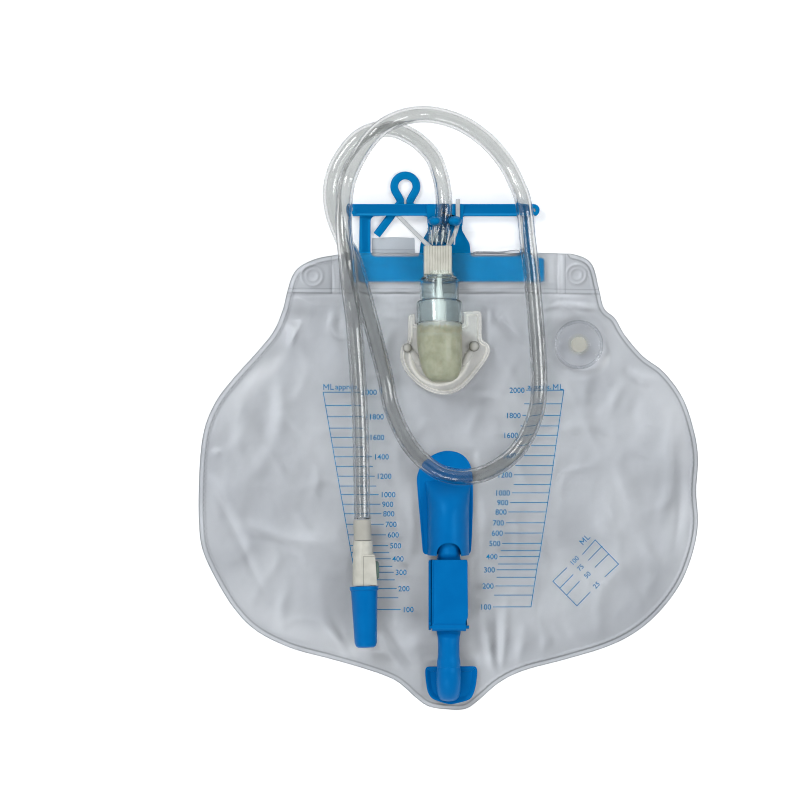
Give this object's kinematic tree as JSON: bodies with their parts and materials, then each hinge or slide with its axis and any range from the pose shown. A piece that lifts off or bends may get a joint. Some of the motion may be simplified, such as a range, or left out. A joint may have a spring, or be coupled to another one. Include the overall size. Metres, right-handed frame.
{
  "type": "urine drainage bag",
  "caption": "Flat clear drainage bag for a bedside, with a hanger frame, drip chamber, vent, drain tube with a lever clamp and holster, and a long looped inlet tube with a capped connector.",
  "frame": {"origin": "middle of the bag's outline with its hook, without the free tube, on the table it lies on", "axes": "+X to the right as the front is read, +Y from the outlet at the foot to the hanger, +Z out of the bag's front"},
  "size_m": [0.3009, 0.3631, 0.0369],
  "materials": {
    "clear_film": "translucent soft PVC sheet",
    "blue_plastic": "satin moulded plastic",
    "clear_plastic": "clear glossy plastic",
    "cream_plastic": "milky off-white moulded plastic",
    "amber_plastic": "translucent soft plastic",
    "grey_rubber": "matt"
  },
  "bodies": {
    "bag": {"bag_back_film": "clear_film", "bag_front_film": "clear_film", "hanger_frame": "blue_plastic", "hook_pin": "blue_plastic", "holster": "blue_plastic", "drain_tube": "blue_plastic", "outlet_boot": "blue_plastic", "clamp_base": "blue_plastic", "clamp_pin": "blue_plastic", "drip_chamber": "clear_plastic", "cap_ring": "clear_plastic", "cap_collar": "clear_plastic", "vent_housing": "clear_plastic", "tether_cord": "clear_plastic", "inlet_tube": "clear_plastic", "chamber_cap": "cream_plastic", "drip_nozzle": "cream_plastic", "chamber_flange": "cream_plastic", "vent_filter": "cream_plastic", "tube_sleeve": "cream_plastic", "connector_body": "cream_plastic", "anti_reflux_cup": "amber_plastic", "reflux_leaflet": "amber_plastic", "septum": "grey_rubber"},
    "hook": {"bed_hook": "blue_plastic"},
    "lever": {"clamp_lever": "blue_plastic"},
    "cap": {"connector_cap": "blue_plastic"}
  },
  "joints": [
    {"name": "hook_swing", "type": "hinge", "parent": "bag", "child": "hook", "pos_m": [-0.0291, 0.1389, 0.0021], "axis": [0, 0, 1], "range_deg": [-5, 35]},
    {"name": "clamp_lever_hinge", "type": "hinge", "parent": "bag", "child": "lever", "pos_m": [0.0002, -0.1115, 0.0169], "axis": [1, 0, 0], "range_deg": [0, 100]},
    {"name": "connector_cap_pull", "type": "slide", "parent": "bag", "child": "cap", "axis": [0.0302, -0.9978, 0.0592], "range_m": [0, 0.04]}
  ]
}
